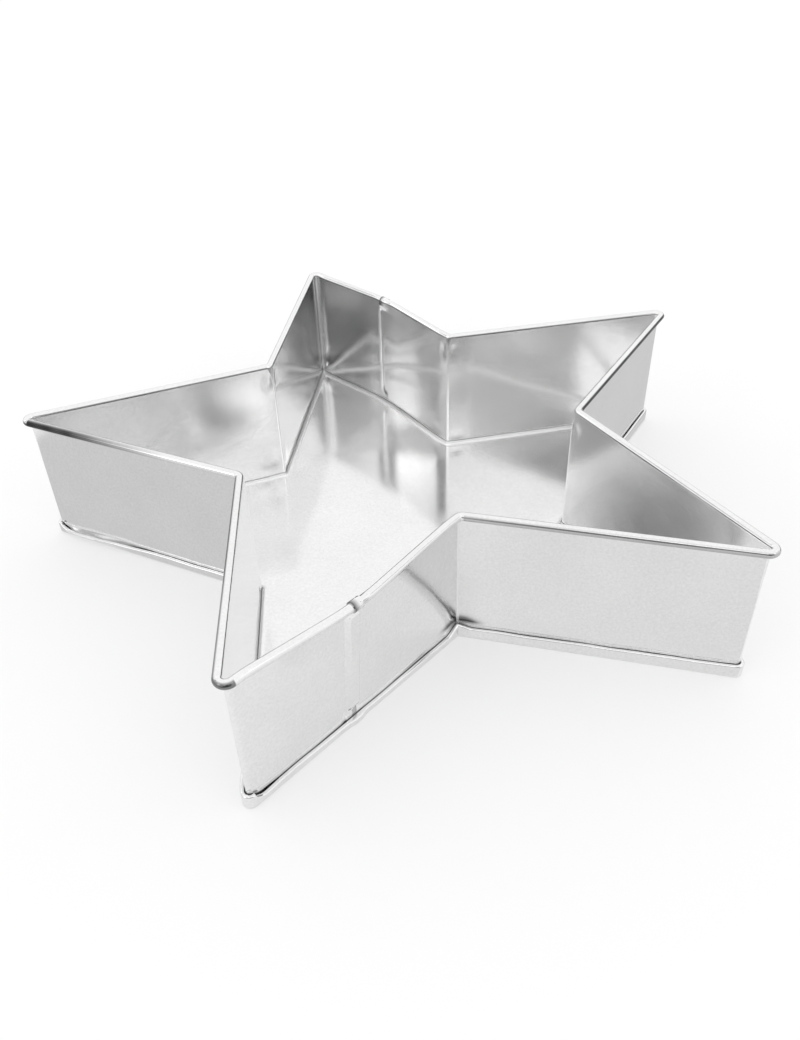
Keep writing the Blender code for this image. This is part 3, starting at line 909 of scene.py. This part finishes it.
def soft_edged(tree, output, edges, grey):
    """A grey glow, cut off softly where the point attribute "place" (0 to 1 both ways) comes near
    an edge. The edges are the soft parts' shares of the sheet at the left, right, bottom and top."""
    split = tree.nodes.new("ShaderNodeSeparateXYZ")
    where = add_node(tree, "ShaderNodeAttribute", {"attribute_name": "place"}, output="Vector")
    tree.links.new(where.output, split.inputs[0])
    across = Socket(tree, split.outputs[0])
    up = Socket(tree, split.outputs[1])
    soft = {"interpolation_type": "SMOOTHSTEP"}
    held_share = 1.0
    for value, width in zip((across, 1 - across, up, 1 - up), edges):
        if width:
            limits = {"Value": value, "From Min": 0.0, "From Max": width}
            held_share = held_share * add_node(tree, "ShaderNodeMapRange", soft, limits)
    dark = add_node(tree, "ShaderNodeEmission", None, {"Strength": grey})
    clear = add_node(tree, "ShaderNodeBsdfTransparent")
    mix = add_node(tree, "ShaderNodeMixShader", None, {0: held_share, 1: clear, 2: dark})
    tree.links.new(mix.output, output.inputs["Surface"])


def soft_sheet(name, places, edges, grey):
    """A grey sheet of the studio through a grid of places, with soft edges."""
    held = np.ones(places.shape[:2], bool)
    mesh = bpy.data.meshes.new(name)
    mesh.from_pydata(places.reshape(-1, 3), [], [list(f) for f in grid_faces(held, False)])
    across = np.linspace(0, 1, places.shape[0])[:, None] * np.ones(places.shape[:2])
    up = np.linspace(0, 1, places.shape[1])[None, :] * np.ones(places.shape[:2])
    where = mesh.attributes.new("place", "FLOAT2", "POINT")
    where.data.foreach_set("vector", np.stack([across, up], -1).ravel().astype(np.float32))
    material, tree, output = stage_material(name)
    soft_edged(tree, output, edges, grey)
    mesh.materials.append(material)
    seen_only_in_tin(bpy.data.objects.new(name, mesh))


def studio_card(name, distance, first, last, low, high, grey, edge):
    """A curved grey card that stands round the pan. Its edges fade evenly on both sides of the
    stated bearings and elevations."""
    first, last, low, high = first - edge, last + edge, low - edge / 2, high + edge / 2
    bearing = np.radians(np.linspace(first, last, CARD_COLUMNS))[:, None]
    elevation = np.radians(np.linspace(low, high, CARD_ROWS))[None, :]
    x = distance * np.sin(bearing) * np.ones_like(elevation)
    y = distance * np.cos(bearing) * np.ones_like(elevation)
    z = distance * np.tan(elevation) * np.ones_like(bearing)
    side = 2 * edge / (last - first)
    top = edge / (high - low)
    soft_sheet("card_" + name, np.stack([x, y, z], -1), (side, side, top if low > 0 else 0, top), grey)


# Painted floor shade: grey sheets on the table, seen only in the tin, where the floor beside the pan
# is in shade: name, the wall that it lies along, how far it goes beyond the wall's start and end, its
# nearest and furthest distance from the wall, and grey
FLOOR_SHADE_SHEETS = (
    ("floor_shade_left", LEFT_FOLD, 0.000, 0.060, 0.002, 0.090, 0.71),
    ("floor_shade_right", RIGHT_TIP, 0.110, 0.000, 0.002, 0.110, 0.69),
    ("floor_shade_front", FRONT_RIGHT_TIP, 0.040, 0.000, 0.002, 0.072, 0.86),
)
SHADE_SHEET_COLUMNS = 17
SHADE_SHEET_ROWS = 9
SHADE_SHEET_HEIGHT = 0.0004
SHADE_SHEET_EDGES = (0.05, 0.05, 0.0, 0.15)


def painted_floor_shade(name, wall, beyond_start, beyond_end, near, far, grey):
    """A grey sheet of painted floor shade that lies on the table along a wall of the pan."""
    along = np.linspace(-beyond_start, WALL_LENGTH + beyond_end, SHADE_SHEET_COLUMNS)[:, None]
    out = np.linspace(near, far, SHADE_SHEET_ROWS)[None, :]
    flat = CORNER[wall] + along[..., None] * AFTER[wall] + out[..., None] * OUTSIDE[wall]
    places = np.concatenate([flat, np.full((*flat.shape[:2], 1), SHADE_SHEET_HEIGHT)], -1)
    soft_sheet(name, places, SHADE_SHEET_EDGES, grey)


# The sky's brighter places: bearing, elevation, radius in degrees, and added light, which is full up to
# a share of the radius
SOFTBOXES = (
    (-108, 25, 16, 1.15),
    (143, 32, 11, 0.85),
    (-50, 29, 7, 1.20),
    (92, 34, 6, 0.30),
    (88, 20, 6, 0.30),
    (-157, 32, 9, 1.40),
    (166, 36, 7, 0.20),
    (-74, 36, 6, 0.30),
)
FULL_SHARE = 0.4
SKY = 1.12


def studio_sky():
    """An even white sky with a few softly brighter places."""
    world = bpy.data.worlds.new("soft_sky")
    bpy.context.scene.world = world
    world.use_nodes = True
    tree = world.node_tree
    tree.nodes.clear()
    way = add_node(tree, "ShaderNodeTexCoord", output="Generated")
    light = SKY
    soft = {"interpolation_type": "SMOOTHSTEP"}
    for bearing, elevation, radius, added in SOFTBOXES:
        a, e = math.radians(bearing), math.radians(elevation)
        aim = (math.sin(a) * math.cos(e), math.cos(a) * math.cos(e), math.sin(e))
        dot = {"operation": "DOT_PRODUCT"}
        near = add_node(tree, "ShaderNodeVectorMath", dot, {0: way, 1: aim}, "Value")
        edge = math.cos(math.radians(radius))
        full = math.cos(math.radians(FULL_SHARE * radius))
        limits = {"Value": near, "From Min": edge, "From Max": full}
        light = light + added * add_node(tree, "ShaderNodeMapRange", soft, limits)
    glow = add_node(tree, "ShaderNodeBackground", None, {"Color": (1, 1, 1, 1), "Strength": light})
    output = tree.nodes.new("ShaderNodeOutputWorld")
    tree.links.new(glow.output, output.inputs["Surface"])


def studio_camera():
    """The camera of the photograph, found by fitting the pan's corners: where it looks, from
    which side, how high, how far away, how tilted, and its lens."""
    azimuth, elevation, roll = math.radians(-15.908), math.radians(37.449), math.radians(-1.936)
    distance = 0.33344
    target = np.array([-0.00436, -0.01228, 0.01335])
    focal_pixels, picture_height, sensor = 907.57, 1040, 36.0
    level = math.cos(elevation)
    back = np.array([math.sin(azimuth) * level, -math.cos(azimuth) * level, math.sin(elevation)])
    right = unit(np.cross(-back, [0, 0, 1]))
    up = np.cross(right, -back)
    lens = bpy.data.cameras.new("camera")
    lens.sensor_width = sensor
    lens.lens = focal_pixels * sensor / picture_height
    lens.clip_start = 0.01
    eye = bpy.data.objects.new("camera", lens)
    bpy.context.scene.collection.objects.link(eye)
    matrix = np.eye(4)
    matrix[:3, 0] = math.cos(roll) * right + math.sin(roll) * up
    matrix[:3, 1] = -math.sin(roll) * right + math.cos(roll) * up
    matrix[:3, 2] = back
    matrix[:3, 3] = target + distance * back
    eye.matrix_world = Matrix(matrix.tolist())
    bpy.context.scene.camera = eye


# Noise waves per metre, along and across the rolling grain
ALONG_GRAIN = 70
ACROSS_GRAIN = 2200

tin_wall = tin_material("tin_plate_wall", (ALONG_GRAIN, ALONG_GRAIN, ACROSS_GRAIN))
tin_floor = tin_material("tin_plate_base", (ALONG_GRAIN, ACROSS_GRAIN, ALONG_GRAIN))
inner_shape, inner_flats = inner_end()
front_shape, outer_flats = outer_end(FRONT_RUN)
back_shape = outer_end(BACK_RUN)[0]
right_sheet = strip(BACK_SEAM, FRONT_SEAM, inner_shape, inner_shape, inner_flats, False)
finish_mesh("wall_right_tin", *right_sheet, tin_wall, "tin_plate", "wall_strip_right")
left_sheet = strip(FRONT_SEAM, BACK_SEAM, front_shape, back_shape, outer_flats, True)
finish_mesh("wall_left_tin", *left_sheet, tin_wall, "tin_plate", "wall_strip_left")
finish_mesh("base_tin", *base(), tin_floor, "tin_plate", "base_sheet")
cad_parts["rim_wire"].material_slots[0].material = wire_material()

studio_floor()
studio_sky()
for card_values in CARDS:
    studio_card(*card_values)
# Painted floor shade beside the pan, seen only in the tin
for shade_sheet_values in FLOOR_SHADE_SHEETS:
    painted_floor_shade(*shade_sheet_values)
studio_camera()
bpy.context.scene.view_settings.view_transform = "Standard"
